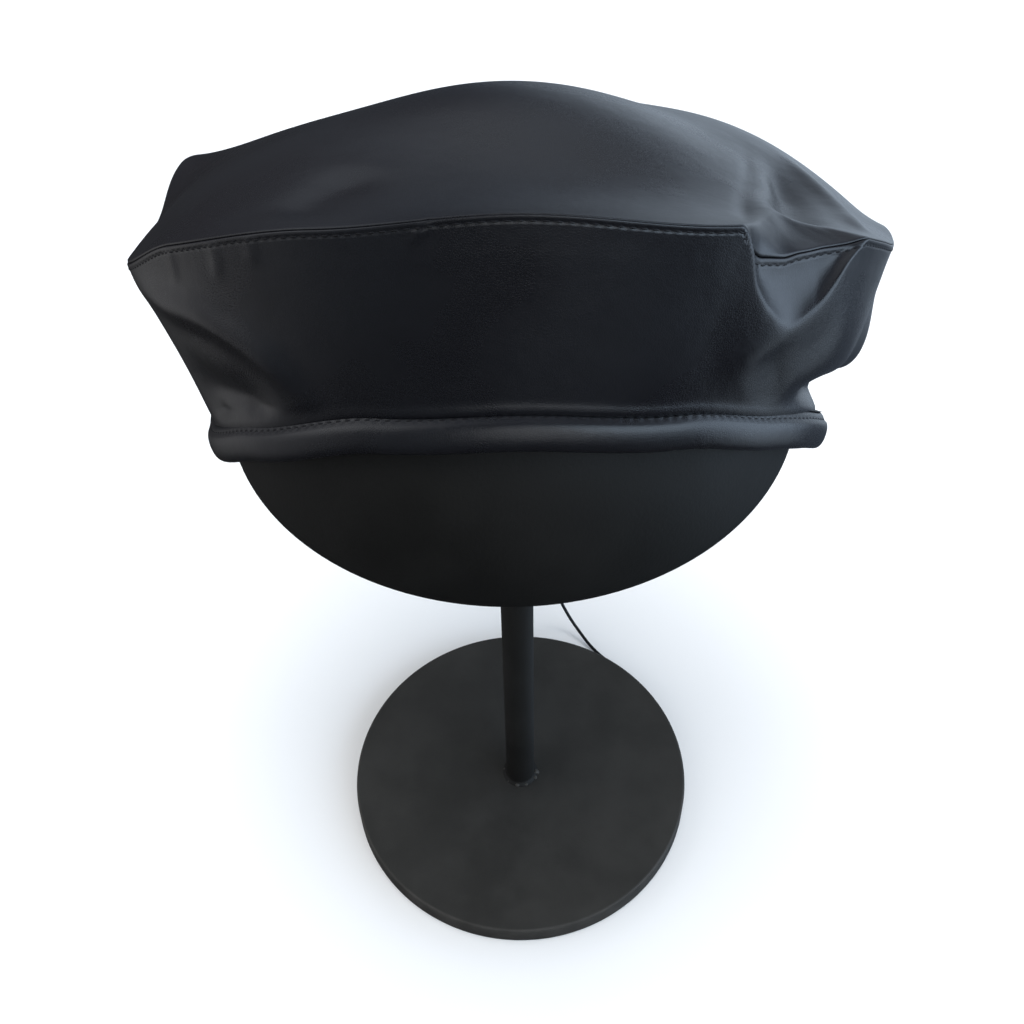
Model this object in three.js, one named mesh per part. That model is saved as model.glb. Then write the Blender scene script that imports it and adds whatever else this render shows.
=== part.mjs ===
// Leather beret resting on a plain dome hat stand.
// Millimetres, +Z up, origin at the centre of the underside of the stand's base.
// The beret faces -Y: its front edge stands up, its back hangs out behind the dome.

import * as THREE from "three";

// ---- driving dimensions: the stand ----

const fitGap = 0.3; // clearance between pieces that touch
const base = { radius: 78, thickness: 11, edge: 1.2, sides: 64 };
const post = { radius: 6.5, footRadius: 8.2, footHeight: 1.8, headGap: 0.75, sides: 24 };
const dome = { radius: 90, height: 85, wall: 2, rimLevel: 272, turnIn: 12, rows: 12, sides: 48 };

// ---- driving dimensions: the beret ----

// Ease is the room between the dome and the leather's inside. Bridging rounds the line
// where the top leaves the dome, creasing the same where a fold presses on it.
const leather = { thickness: 1.5, ease: 0.55, bridging: 9, creasing: 0.6 };
const band = { height: 11, thickness: 5, squareness: 0.6, sectionSides: 10, crownGap: 0.7 };
const crownCentre = { x: 0, y: 45 }; // centre of the crown seam in plan
const crownPole = { x: 0, y: 45, height: 67 }; // where the top panel's sections meet
const seamGap = { side: 0.009, top: 0.0045 }; // levels left free on either side of the crown seam
const crownSteps = { coarse: 5, fine: 2.5, fineFrom: 25, fineTo: 85, side: 9, top: 12 };
const bellySkew = 0.75; // under 1, the side panel swells most below its middle
const crestRounding = 0.7;

// The head band's lower outside edge. Azimuth in degrees from the front, positive
// towards +X. Radius about the stand's axis, height above the dome's rim, and tuck,
// how far inside the band's outside the side panel starts.
const bandSections = [
  { azimuth: -165, radius: 96, height: -25, tuck: 2 },
  { azimuth: -140, radius: 96, height: -23, tuck: 2 },
  { azimuth: -120, radius: 96, height: -20, tuck: 3 },
  { azimuth: -106, radius: 96, height: -17, tuck: 3.5 },
  { azimuth: -92, radius: 96, height: -14, tuck: 3.5 },
  { azimuth: -80, radius: 96, height: -9, tuck: 3.5 },
  { azimuth: -68, radius: 97, height: 4, tuck: 3.5 },
  { azimuth: -50, radius: 93, height: 28, tuck: 2 },
  { azimuth: -25, radius: 84, height: 48, tuck: 1.5 },
  { azimuth: 0, radius: 81, height: 53, tuck: 1.5 },
  { azimuth: 30, radius: 86, height: 45, tuck: 1.5 },
  { azimuth: 50, radius: 93, height: 28, tuck: 2 },
  { azimuth: 60, radius: 97, height: 16, tuck: 3 },
  { azimuth: 69, radius: 99.5, height: 2, tuck: 5 },
  { azimuth: 80, radius: 92, height: -15, tuck: 4.5 },
  { azimuth: 92, radius: 90, height: -22, tuck: 3.5 },
  { azimuth: 115, radius: 92, height: -25, tuck: 3 },
  { azimuth: 140, radius: 94, height: -26, tuck: 2 },
  { azimuth: 165, radius: 96, height: -26, tuck: 2 },
];

// The crown seam and the two panels that meet there. Radius about the crown's centre,
// height above the dome's rim. Belly swells the side panel, rise lifts the top panel
// most at the crest, which runs 0 at the seam to 1 at the pole.
const crownSections = [
  { azimuth: -165, radius: 105, height: -4, belly: 9, crest: 0.45, rise: 9 },
  { azimuth: -140, radius: 110, height: 4, belly: 8, crest: 0.45, rise: 8 },
  { azimuth: -120, radius: 115, height: 16, belly: 5, crest: 0.45, rise: 6 },
  { azimuth: -106, radius: 116, height: 30, belly: 2, crest: 0.5, rise: 7 },
  { azimuth: -92, radius: 114, height: 30, belly: -2, crest: 0.6, rise: 9 },
  { azimuth: -80, radius: 116, height: 37, belly: -2, crest: 0.6, rise: 12 },
  { azimuth: -68, radius: 120, height: 50, belly: 0, crest: 0.6, rise: 15 },
  { azimuth: -50, radius: 115, height: 79, belly: 0, crest: 0.55, rise: 14 },
  { azimuth: -25, radius: 110, height: 103, belly: 0, crest: 0.5, rise: 10 },
  { azimuth: 0, radius: 106, height: 111, belly: 0, crest: 0.5, rise: 6 },
  { azimuth: 30, radius: 111, height: 98.5, belly: 0, crest: 0.4, rise: 8 },
  { azimuth: 35, radius: 108.5, height: 82, belly: -1, crest: 0.2, rise: 13 },
  { azimuth: 50, radius: 112, height: 71, belly: -2, crest: 0.3, rise: 20 },
  { azimuth: 60, radius: 117, height: 62.5, belly: 0, crest: 0.38, rise: 23 },
  { azimuth: 69, radius: 120, height: 49, belly: 1, crest: 0.45, rise: 24 },
  { azimuth: 80, radius: 119, height: 37, belly: 15, crest: 0.5, rise: 23 },
  { azimuth: 92, radius: 118, height: 22, belly: 21, crest: 0.5, rise: 20 },
  { azimuth: 115, radius: 110, height: 10, belly: 14, crest: 0.5, rise: 13 },
  { azimuth: 140, radius: 106, height: 0, belly: 10, crest: 0.45, rise: 8 },
  { azimuth: 165, radius: 104, height: -6, belly: 9, crest: 0.45, rise: 8 },
];

// Folds and dents. Level runs 0 at the band, 1 at the seam, 2 at the pole. Spread is in
// degrees, reach in levels, slant in degrees of azimuth for each level.
const folds = [
  { name: "facet under right seam", azimuth: 46, level: 0.86, spread: 8, reach: 0.2, slant: 0, depth: -3 },
  { name: "hollow over right seam", azimuth: 57, level: 1.14, spread: 7, reach: 0.13, slant: 0, depth: -3 },
  { name: "ridge to right corner", azimuth: 69, level: 1.12, spread: 5, reach: 0.2, slant: 0, depth: 1.5 },
  { name: "ridge below the facet", azimuth: 44, level: 0.41, spread: 4, reach: 0.2, slant: 28, depth: 2 },
  { name: "long ridge on the left", azimuth: -44, level: 0.5, spread: 6, reach: 0.4, slant: -40, depth: 2 },
  { name: "valley left of top", azimuth: -31, level: 1.22, spread: 5, reach: 0.25, slant: 8, depth: -1.5 },
  { name: "pinch over the band", azimuth: 73, level: 0.1, spread: 8, reach: 0.14, slant: 30, depth: -4.5 },
  { name: "right droop", azimuth: 118, level: 0.5, spread: 9, reach: 0.24, slant: 20, depth: -4 },
  { name: "back droop", azimuth: 172, level: 0.5, spread: 10, reach: 0.24, slant: -15, depth: -3 },
  { name: "left droop", azimuth: -135, level: 0.5, spread: 9, reach: 0.24, slant: -15, depth: -4 },
];

// The adjusting cord hangs from the back of the band and ends on the table behind the base.
const drawstring = { diameter: 1.6, sides: 8, steps: 60 };
const drawstringRoute = [
  [2, 97.7, 251.5],
  [2.2, 100.2, 251.3],
  [2.8, 102.6, 247],
  [3.6, 104, 232],
  [4.8, 105, 205],
  [6, 105, 170],
  [7.5, 104.5, 135],
  [9.5, 103.5, 100],
  [12.5, 102, 68],
  [16.5, 99.5, 42],
  [21, 96, 24],
  [26.5, 90.5, 12],
  [33, 83, 5],
  [39, 75.5, 1.8],
  [45, 69, 1],
  [51, 63, 1],
];

// ---- materials ----

function paint(color, roughness) {
  return new THREE.MeshStandardMaterial({ color, roughness, metalness: 0 });
}

const napa = paint(0x1d2128, 0.42);
const bandNapa = paint(0x20252c, 0.4);
const blackPaint = paint(0x1c1c1b, 0.7);
const cordBlack = paint(0x0b0b0c, 0.6);

// ---- reading the tables ----

function toRadians(degrees) {
  return (degrees * Math.PI) / 180;
}

function turnBetween(from, to) {
  return (((to - from) % 360) + 360) % 360;
}

function wrapDegrees(degrees) {
  return turnBetween(-180, degrees) - 180;
}

// Steady slope at row i, zero at a turning point, so that nothing overshoots between rows.
function rowSlope(rows, i, key) {
  const before = rows[(i + rows.length - 1) % rows.length];
  const here = rows[i];
  const after = rows[(i + 1) % rows.length];
  const slopeBefore = (here[key] - before[key]) / turnBetween(before.azimuth, here.azimuth);
  const slopeAfter = (after[key] - here[key]) / turnBetween(here.azimuth, after.azimuth);
  if (slopeBefore * slopeAfter <= 0) {
    return 0;
  }
  return (2 * slopeBefore * slopeAfter) / (slopeBefore + slopeAfter);
}

// One column of a table at any azimuth, smooth through the rows and right round the hat.
function columnAt(rows, azimuth, key) {
  const angle = wrapDegrees(azimuth);
  const next = Math.max(rows.findIndex((row) => row.azimuth > angle), 0);
  const last = (next + rows.length - 1) % rows.length;
  const span = turnBetween(rows[last].azimuth, rows[next].azimuth);
  const t = turnBetween(rows[last].azimuth, angle) / span;
  const slopeStart = rowSlope(rows, last, key) * span;
  const slopeEnd = rowSlope(rows, next, key) * span;
  const t2 = t * t;
  const t3 = t2 * t;
  return (
    (2 * t3 - 3 * t2 + 1) * rows[last][key] +
    (t3 - 2 * t2 + t) * slopeStart +
    (3 * t2 - 2 * t3) * rows[next][key] +
    (t3 - t2) * slopeEnd
  );
}

// ---- the beret's surface ----

// Moves a point out of the dome, with a soft bridge where the leather lifts off it.
// Under the rim the room kept free closes off quickly, so the leather may turn in there.
function liftOffDome(point, bridging) {
  const clear = dome.radius + leather.ease + leather.thickness;
  const above = point.z - dome.rimLevel;
  const stretch = dome.radius / (above > 0 ? dome.height : dome.turnIn);
  const local = new THREE.Vector3(point.x, point.y, above * stretch);
  const distance = local.length();
  const excess = distance - clear;
  const lifted = clear + (excess + Math.hypot(excess, bridging)) / 2;
  local.multiplyScalar(lifted / distance);
  return new THREE.Vector3(local.x, local.y, dome.rimLevel + local.z / stretch);
}

// 0 at both ends and about 1 at the peak, straight on either side of a rounded top.
function tent(t, peak) {
  const up = t / peak;
  const down = (1 - t) / (1 - peak);
  const rounding = crestRounding * Math.sqrt(Math.max(t * (1 - t), 0));
  return (up + down - Math.hypot(up - down, rounding)) / 2;
}

function outwardFrom(centre, azimuth, radius, height) {
  const angle = toRadians(azimuth);
  return new THREE.Vector3(
    centre.x + radius * Math.sin(angle),
    centre.y - radius * Math.cos(angle),
    dome.rimLevel + height,
  );
}

function bandPoint(azimuth) {
  const radius = columnAt(bandSections, azimuth, "radius");
  const height = columnAt(bandSections, azimuth, "height");
  return outwardFrom({ x: 0, y: 0 }, azimuth, radius, height);
}

function seamPoint(azimuth) {
  const radius = columnAt(crownSections, azimuth, "radius");
  const height = columnAt(crownSections, azimuth, "height");
  return outwardFrom(crownCentre, azimuth, radius, height);
}

// Unit vectors of the band at one azimuth: out of the hat, and up the band's height.
function bandFrame(azimuth) {
  const step = 1;
  const along = bandPoint(azimuth + step).sub(bandPoint(azimuth - step)).normalize();
  const fromRim = bandPoint(azimuth).sub(new THREE.Vector3(0, 0, dome.rimLevel)).normalize();
  const upward = new THREE.Vector3().crossVectors(fromRim, along).normalize();
  const outward = new THREE.Vector3().crossVectors(along, upward).normalize();
  return { outward, upward };
}

function crownFoot(azimuth) {
  const frame = bandFrame(azimuth);
  return bandPoint(azimuth)
    .addScaledVector(frame.upward, band.height + band.crownGap)
    .addScaledVector(frame.outward, -columnAt(bandSections, azimuth, "tuck"));
}

// The side panel before folding: straight from band to seam, swelling square to itself.
function sidePanel(azimuth, level) {
  const foot = crownFoot(azimuth);
  const seam = seamPoint(azimuth);
  const rising = seam.clone().sub(foot).normalize();
  const angle = toRadians(azimuth);
  const outward = new THREE.Vector3(Math.sin(angle), -Math.cos(angle), 0);
  const belly = columnAt(crownSections, azimuth, "belly");
  const swell = belly * Math.sin(Math.PI * level ** bellySkew) ** 2;
  const point = foot.lerp(seam, level);
  point.addScaledVector(outward, swell * rising.z);
  point.z -= swell * rising.dot(outward);
  return point;
}

// The top panel before folding: straight from seam to pole, lifted along its crest.
function topPanel(azimuth, inward) {
  const pole = outwardFrom(crownPole, 0, 0, crownPole.height);
  const point = seamPoint(azimuth).lerp(pole, inward);
  const crest = columnAt(crownSections, azimuth, "crest");
  point.z += columnAt(crownSections, azimuth, "rise") * tent(inward, crest);
  return point;
}

function crownBase(azimuth, level) {
  const footBridging = 0.2;
  const bridging = leather.bridging * Math.min(level + footBridging, 1);
  const point = level <= 1 ? sidePanel(azimuth, level) : topPanel(azimuth, level - 1);
  return liftOffDome(point, bridging);
}

function surfaceNormal(surface, azimuth, level) {
  const turn = 1.5;
  const climb = 0.03;
  const along = surface(azimuth + turn, level).sub(surface(azimuth - turn, level));
  const low = surface(azimuth, Math.max(level - climb, 0));
  const upward = surface(azimuth, level + climb).sub(low);
  return along.cross(upward).normalize();
}

function foldDepth(azimuth, level) {
  let depth = 0;
  for (const fold of folds) {
    const climb = level - fold.level;
    const turn = wrapDegrees(azimuth - fold.azimuth - fold.slant * climb);
    depth += fold.depth * Math.exp(-((turn / fold.spread) ** 2) - (climb / fold.reach) ** 2);
  }
  return depth;
}

function crownOuter(azimuth, level) {
  const normal = surfaceNormal(crownBase, azimuth, level);
  const folded = crownBase(azimuth, level).addScaledVector(normal, foldDepth(azimuth, level));
  return liftOffDome(folded, leather.creasing);
}

// The mitre both panels share at the seam, halfway between them, as a vector into the hat.
function seamMitre(azimuth) {
  const step = 0.02;
  const seam = crownOuter(azimuth, 1);
  const downSide = crownOuter(azimuth, 1 - step).sub(seam).normalize();
  const acrossTop = crownOuter(azimuth, 1 + step).sub(seam).normalize();
  const halfAngle = Math.sqrt((1 - downSide.dot(acrossTop)) / 2);
  const depth = leather.thickness * Math.min(1 / halfAngle, 2);
  return downSide.add(acrossTop).setLength(depth);
}

function crownInner(azimuth, level) {
  const point = crownOuter(azimuth, level);
  if (level > 1 - 2 * seamGap.side && level < 1 + 2 * seamGap.top) {
    return point.add(seamMitre(azimuth));
  }
  return point.addScaledVector(surfaceNormal(crownOuter, azimuth, level), -leather.thickness);
}

// ---- closed bodies from rings of points ----

function bodyFrom(points, faces) {
  const geometry = new THREE.BufferGeometry();
  const positions = points.flatMap((point) => [point.x, point.y, point.z]);
  geometry.setAttribute("position", new THREE.Float32BufferAttribute(positions, 3));
  geometry.setIndex(faces.flat());
  geometry.computeVertexNormals();
  return geometry;
}

// Two triangles for the quad a b c d, cut along its shorter diagonal.
function quad(points, a, b, c, d) {
  if (points[a].distanceTo(points[c]) <= points[b].distanceTo(points[d])) {
    return [[a, b, c], [a, c, d]];
  }
  return [[a, b, d], [b, c, d]];
}

// The strip of faces between ring r and ring next, each ring holding count points.
function ringFaces(points, count, r, next) {
  const faces = [];
  for (let i = 0; i < count; i += 1) {
    const j = (i + 1) % count;
    faces.push(...quad(points, r * count + i, r * count + j, next * count + j, next * count + i));
  }
  return faces;
}

// Joins rings of equal length into a closed skin. The rings run round one closed section.
function ringedBody(rings) {
  const points = rings.flat();
  const faces = rings.flatMap((ring, r) => {
    return ringFaces(points, ring.length, r, (r + 1) % rings.length);
  });
  return bodyFrom(points, faces);
}

// Azimuths once round, closer together where the right side is folded.
function azimuthList() {
  const azimuths = [];
  let azimuth = -180;
  while (azimuth < 180) {
    azimuths.push(azimuth);
    const folded = azimuth >= crownSteps.fineFrom && azimuth < crownSteps.fineTo;
    azimuth += folded ? crownSteps.fine : crownSteps.coarse;
  }
  return azimuths;
}

function ringOf(surface, level) {
  return azimuthList().map((azimuth) => surface(azimuth, level));
}

// ---- the beret's pieces ----

function bandGeometry() {
  const roundedSide = (value) => Math.sign(value) * Math.abs(value) ** band.squareness;
  const rings = [];
  for (let k = 0; k < band.sectionSides; k += 1) {
    const turn = (2 * Math.PI * (k + 0.5)) / band.sectionSides;
    const across = ((roundedSide(Math.cos(turn)) - 1) * band.thickness) / 2;
    const up = ((roundedSide(Math.sin(turn)) + 1) * band.height) / 2;
    rings.push(
      azimuthList().map((azimuth) => {
        const frame = bandFrame(azimuth);
        return bandPoint(azimuth)
          .addScaledVector(frame.outward, across)
          .addScaledVector(frame.upward, up);
      }),
    );
  }
  return ringedBody(rings);
}

function crownSideGeometry() {
  const levels = Array.from({ length: crownSteps.side + 1 }, (_, i) => i / crownSteps.side);
  levels[crownSteps.side] = 1 - seamGap.side;
  const outer = levels.map((level) => ringOf(crownOuter, level));
  const inner = levels.map((level) => ringOf(crownInner, level));
  return ringedBody([...outer, ...inner.reverse()]);
}

function crownTopGeometry() {
  const levels = Array.from({ length: crownSteps.top }, (_, i) => 1 + i / crownSteps.top);
  levels[0] = 1 + seamGap.top;
  const outer = levels.map((level) => ringOf(crownOuter, level));
  const inner = levels.map((level) => ringOf(crownInner, level));
  const rings = [...inner.reverse(), ...outer];
  const points = rings.flat();
  const count = outer[0].length;
  const faces = [];
  for (let r = 0; r < rings.length - 1; r += 1) {
    faces.push(...ringFaces(points, count, r, r + 1));
  }
  const poleOuter = crownBase(0, 2);
  const poleInner = poleOuter.clone();
  poleInner.z -= leather.thickness;
  const innerPole = points.push(poleInner) - 1;
  const outerPole = points.push(poleOuter) - 1;
  const lastRing = (rings.length - 1) * count;
  for (let i = 0; i < count; i += 1) {
    const j = (i + 1) % count;
    faces.push([innerPole, j, i], [outerPole, lastRing + i, lastRing + j]);
  }
  return bodyFrom(points, faces);
}

function drawstringGeometry() {
  const route = new THREE.CatmullRomCurve3(drawstringRoute.map((p) => new THREE.Vector3(...p)));
  const corners = Array.from({ length: drawstring.sides }, (_, i) => {
    const angle = (2 * Math.PI * i) / drawstring.sides;
    return new THREE.Vector2(Math.cos(angle), Math.sin(angle)).multiplyScalar(drawstring.diameter / 2);
  });
  const section = new THREE.Shape(corners);
  return new THREE.ExtrudeGeometry(section, { steps: drawstring.steps, extrudePath: route });
}

// ---- the stand's pieces ----

// Turns a profile of [radius, height] points about the stand's axis.
function turned(profile, sides) {
  const points = profile.map(([radius, height]) => new THREE.Vector2(radius, height));
  return new THREE.LatheGeometry(points, sides).rotateX(Math.PI / 2);
}

function domeArc(radius, height) {
  const arc = [];
  for (let i = 0; i < dome.rows; i += 1) {
    const angle = ((Math.PI / 2) * i) / dome.rows;
    arc.push([radius * Math.cos(angle), height * Math.sin(angle)]);
  }
  arc.push([0, height]);
  return arc;
}

function domeGeometry() {
  const outside = domeArc(dome.radius, dome.height);
  const inside = domeArc(dome.radius - dome.wall, dome.height - dome.wall);
  return turned([...outside, ...inside.reverse(), outside[0]], dome.sides);
}

function postGeometry(length) {
  return turned(
    [
      [0, 0],
      [post.footRadius, 0],
      [post.radius, post.footHeight],
      [post.radius, length],
      [0, length],
    ],
    post.sides,
  );
}

function baseGeometry() {
  return turned(
    [
      [0, 0],
      [base.radius - base.edge, 0],
      [base.radius, base.edge],
      [base.radius, base.thickness - base.edge],
      [base.radius - base.edge, base.thickness],
      [0, base.thickness],
    ],
    base.sides,
  );
}

// ---- assembly ----

function piece(name, geometry, material, height = 0) {
  const mesh = new THREE.Mesh(geometry, material);
  mesh.name = name;
  mesh.position.z = height;
  return mesh;
}

const postFoot = base.thickness + fitGap;
const postTop = dome.rimLevel + dome.height - dome.wall - post.headGap;

const hat = new THREE.Group();
hat.add(
  piece("stand_base", baseGeometry(), blackPaint),
  piece("stand_post", postGeometry(postTop - postFoot), blackPaint, postFoot),
  piece("stand_dome", domeGeometry(), blackPaint, dome.rimLevel),
  piece("head_band", bandGeometry(), bandNapa),
  piece("crown_side", crownSideGeometry(), napa),
  piece("crown_top", crownTopGeometry(), napa),
  piece("drawstring", drawstringGeometry(), cordBlack),
);

export default hat;
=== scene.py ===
import math

import bpy
import numpy as np
from mathutils import Matrix, Vector, noise


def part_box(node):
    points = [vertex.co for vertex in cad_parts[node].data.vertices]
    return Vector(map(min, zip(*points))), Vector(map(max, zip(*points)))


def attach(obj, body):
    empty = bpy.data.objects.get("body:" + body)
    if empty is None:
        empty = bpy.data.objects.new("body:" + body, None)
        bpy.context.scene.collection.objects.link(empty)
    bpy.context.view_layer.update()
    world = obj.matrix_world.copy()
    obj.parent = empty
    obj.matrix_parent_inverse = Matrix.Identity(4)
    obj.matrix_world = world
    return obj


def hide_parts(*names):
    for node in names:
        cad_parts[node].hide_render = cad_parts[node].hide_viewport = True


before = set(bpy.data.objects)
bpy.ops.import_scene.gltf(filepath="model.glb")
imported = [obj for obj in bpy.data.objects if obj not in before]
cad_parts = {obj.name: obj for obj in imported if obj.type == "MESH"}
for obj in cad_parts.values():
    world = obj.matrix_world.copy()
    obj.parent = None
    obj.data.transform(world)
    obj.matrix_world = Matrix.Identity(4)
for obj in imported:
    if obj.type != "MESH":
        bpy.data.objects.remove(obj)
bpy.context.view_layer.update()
mm = 0.001
print("frame loaded:", sorted(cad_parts))


# small helpers

def selectOnly(*pieces):
    bpy.ops.object.select_all(action="DESELECT")
    for piece in pieces:
        piece.select_set(True)
    bpy.context.view_layer.objects.active = pieces[0]


def newest(name):
    piece = bpy.context.active_object
    piece.name = name
    piece.data.name = name
    return piece


def applyAll(piece):
    selectOnly(piece)
    for modifier in list(piece.modifiers):
        bpy.ops.object.modifier_apply(modifier=modifier.name)
    bpy.ops.object.transform_apply(location=True, rotation=True, scale=True)


def hand(piece, slot, material, *nodes):  # hands a finished piece to the frame
    piece.data.materials.clear()
    piece.data.materials.append(material)
    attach(piece, "root")
    if nodes:
        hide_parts(*nodes)


# camera: looks down at the hat from the front, a little rolled

view = {
    "place": (-0.0011, -0.2955, 0.5611),
    "down": 50.32,  # degrees below the horizon
    "roll": -1.35,
    "lens": 45.11,
    "nearest": 0.01,
}


def makeCamera():
    tilt = Matrix.Rotation(math.radians(90 - view["down"]), 3, "X")
    roll = Matrix.Rotation(math.radians(view["roll"]), 3, "Z")
    bpy.ops.object.camera_add(location=view["place"], rotation=(tilt @ roll).to_euler())
    camera = bpy.context.active_object
    camera.data.lens = view["lens"]
    camera.data.clip_start = view["nearest"]
    bpy.context.scene.camera = camera


makeCamera()
print("camera made")


# drawstring: hangs from the back of the band and ends on the table

cord = {
    "diameter": 1.6 * mm,
    "stepsBetween": 10,
    "roundness": 4,
    "route": [  # millimetres
        (2, 97.7, 251.5), (2.2, 100.2, 251.3), (2.8, 102.6, 247), (3.6, 104, 232),
        (4.8, 105, 205), (6, 105, 170), (7.5, 104.5, 135), (9.5, 103.5, 100),
        (12.5, 102, 68), (16.5, 99.5, 42), (21, 96, 24), (26.5, 90.5, 12),
        (33, 83, 5), (39, 75.5, 1.8), (45, 69, 1), (51, 63, 1),
    ],
}


def makeDrawstring():  # gives the piece and its length
    route = [Vector(point) * mm for point in cord["route"]]
    bpy.ops.curve.primitive_bezier_curve_add(enter_editmode=False)
    piece = newest("drawstring_cord")
    spline = piece.data.splines[0]
    spline.bezier_points.add(len(route) - len(spline.bezier_points))
    for knot, point in zip(spline.bezier_points, route):
        knot.co = point
        knot.handle_left_type = knot.handle_right_type = "AUTO"
    spline.resolution_u = cord["stepsBetween"]
    piece.data.bevel_depth = cord["diameter"] / 2
    piece.data.bevel_resolution = cord["roundness"]
    piece.data.use_fill_caps = True
    return piece, sum((b - a).length for a, b in zip(route, route[1:]))


drawstring, drawstringLength = makeDrawstring()
print("drawstring made, mm long:", round(drawstringLength / mm))


# shader maths

class Wire:  # one output socket, with the arithmetic that the materials use
    def __init__(self, shader, socket):
        self.shader = shader
        self.socket = socket

    def maths(self, operation, *values):  # of this wire alone where no values are given
        values = values or (self,)
        sockets = dict(enumerate(values))
        return self.shader.node("ShaderNodeMath", {"operation": operation}, sockets)

    def __add__(self, other):
        return self.maths("ADD", self, other)

    def __sub__(self, other):
        return self.maths("SUBTRACT", self, other)

    def __rsub__(self, other):
        return self.maths("SUBTRACT", other, self)

    def __mul__(self, other):
        return self.maths("MULTIPLY", self, other)

    def __truediv__(self, other):
        return self.maths("DIVIDE", self, other)

    __radd__ = __add__
    __rmul__ = __mul__

    def fade(self, low, high):  # 0 below low, 1 above high, smooth between
        return self.shader.node(
            "ShaderNodeMapRange",
            {"interpolation_type": "SMOOTHSTEP"},
            {"Value": self, "From Min": low, "From Max": high},
        )


class Shader:  # the nodes of one material or of the world
    def __init__(self, owner):
        self.owner = owner
        owner.use_nodes = True
        self.tree = owner.node_tree

    def node(self, kind, settings=None, sockets=None, output=0):
        made = self.tree.nodes.new(kind)
        for key, value in (settings or {}).items():
            setattr(made, key, value)
        self.wire(made, sockets or {})
        return Wire(self, made.outputs[output])

    def wire(self, made, sockets):
        for key, value in sockets.items():
            if isinstance(value, Wire):
                self.tree.links.new(value.socket, made.inputs[key])
            else:
                made.inputs[key].default_value = value

    def place(self):
        return self.node("ShaderNodeTexCoord", output="Object")

    def chart(self):  # metres along the seam, and away from it
        plan = self.node("ShaderNodeTexCoord", output="UV")
        split = self.node("ShaderNodeSeparateXYZ", {}, {0: plan})
        return split, Wire(self, split.socket.node.outputs[1])

    def noise(self, scale, detail=2.0, roughness=0.5, vector=None):
        sockets = {"Scale": scale, "Detail": detail, "Roughness": roughness}
        sockets["Vector"] = vector or self.place()
        return self.node("ShaderNodeTexNoise", {}, sockets)

    def blend(self, factor, first, second, way="MIX"):
        return self.node(
            "ShaderNodeMix", {"data_type": "RGBA", "blend_type": way},
            {"Factor": factor, 6: first, 7: second}, output=2,
        )

    def towards(self, direction):  # 1 where a ray heads that way, 0 square to it
        sockets = {0: self.node("ShaderNodeTexCoord"), 1: direction}
        return self.node("ShaderNodeVectorMath", {"operation": "DOT_PRODUCT"}, sockets, output=1)

    def bump(self, height, distance, strength=1.0, normal=None):
        sockets = {"Height": height, "Distance": distance, "Strength": strength}
        if normal:
            sockets["Normal"] = normal
        return self.node("ShaderNodeBump", {}, sockets)

    def finish(self, **sockets):
        kind = "Background" if isinstance(self.owner, bpy.types.World) else "Principled BSDF"
        named = {key.replace("_", " "): value for key, value in sockets.items()}
        self.wire(self.tree.nodes[kind], named)
        return self.owner


def newShader(name):
    return Shader(bpy.data.materials.new(name))


# materials

leatherLook = {
    "dark": (0.0042, 0.0043, 0.0062, 1),
    "light": (0.0062, 0.0068, 0.0092, 1),
    "patches": 14,  # patches, ripples and grain cells to a metre
    "ripples": 90,
    "grain": 1500,
    "grainEdge": 0.18,
    "rippleBump": (0.9 * mm, 0.3),  # a bump's height and strength
    "grainBump": (0.035 * mm, 0.5),
    "channelBump": (0.22 * mm, 0.8),  # the stitches pull the leather in along a channel
    "channelWidth": 0.9 * mm,
    "channelWave": 0.35,
    "roughness": (0.27, 0.36),
    "grainGloss": 0.03,
    "coat": 0.15,
    "coatRoughness": 0.25,
}
stitch = {
    "pitch": 2.9 * mm, "length": 2.1 * mm, "thickness": 0.6 * mm,
    "belowSeam": 2.0 * mm, "sunk": 0.12 * mm,
}


def leatherMaterial(name, seamRow=None):  # seamRow: how far off the chart's seam the stitches run
    shader = newShader(name)
    patches = shader.noise(leatherLook["patches"], 3, 0.55).fade(0.35, 0.65)
    cells = shader.node(
        "ShaderNodeTexVoronoi", {"feature": "DISTANCE_TO_EDGE"},
        {"Vector": shader.place(), "Scale": leatherLook["grain"]},
    )
    grain = cells.fade(0, leatherLook["grainEdge"])
    ripple = shader.noise(leatherLook["ripples"], 3, 0.5)
    low, high = leatherLook["roughness"]
    normal = shader.bump(ripple, *leatherLook["rippleBump"])
    normal = shader.bump(grain, *leatherLook["grainBump"], normal)
    if seamRow is not None:
        along, away = shader.chart()
        near = 1 - ((away - seamRow).maths("ABSOLUTE") / leatherLook["channelWidth"]).fade(0, 1)
        wave = (along * (2 * math.pi / stitch["pitch"])).maths("SINE")
        channel = near * (wave * leatherLook["channelWave"] - 1)
        normal = shader.bump(channel, *leatherLook["channelBump"], normal)
    colour = shader.blend(patches, leatherLook["dark"], leatherLook["light"])
    return shader.finish(
        Base_Color=colour,
        Roughness=low + patches * (high - low) - grain * leatherLook["grainGloss"],
        Normal=normal,
        Coat_Weight=leatherLook["coat"],
        Coat_Roughness=leatherLook["coatRoughness"],
    )


paint = {
    "dark": (0.0206, 0.0198, 0.0182, 1),
    "light": (0.0310, 0.0298, 0.0276, 1),
    # the colour of chipped paint, also used for a painted sheen on the base's side band
    "wornAndSheen": (0.058, 0.054, 0.050, 1),
    "rim": 77.2 * mm,  # outside it the base's side band is painted lighter: a painted sheen, broken up by chipped wear
    "rimFade": 0.5 * mm,
    "scuffed": 42 * mm,  # specks lie this far round the post's foot
    "dust": 35,  # patches of dust, dimples, chips and specks to a metre
    "peel": 900,
    "chips": 60,
    "specks": 1100,
    "peelBump": (0.12 * mm, 0.5),
    "roughness": (0.6, 0.7),
    "specular": 0.3,
}


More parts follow.
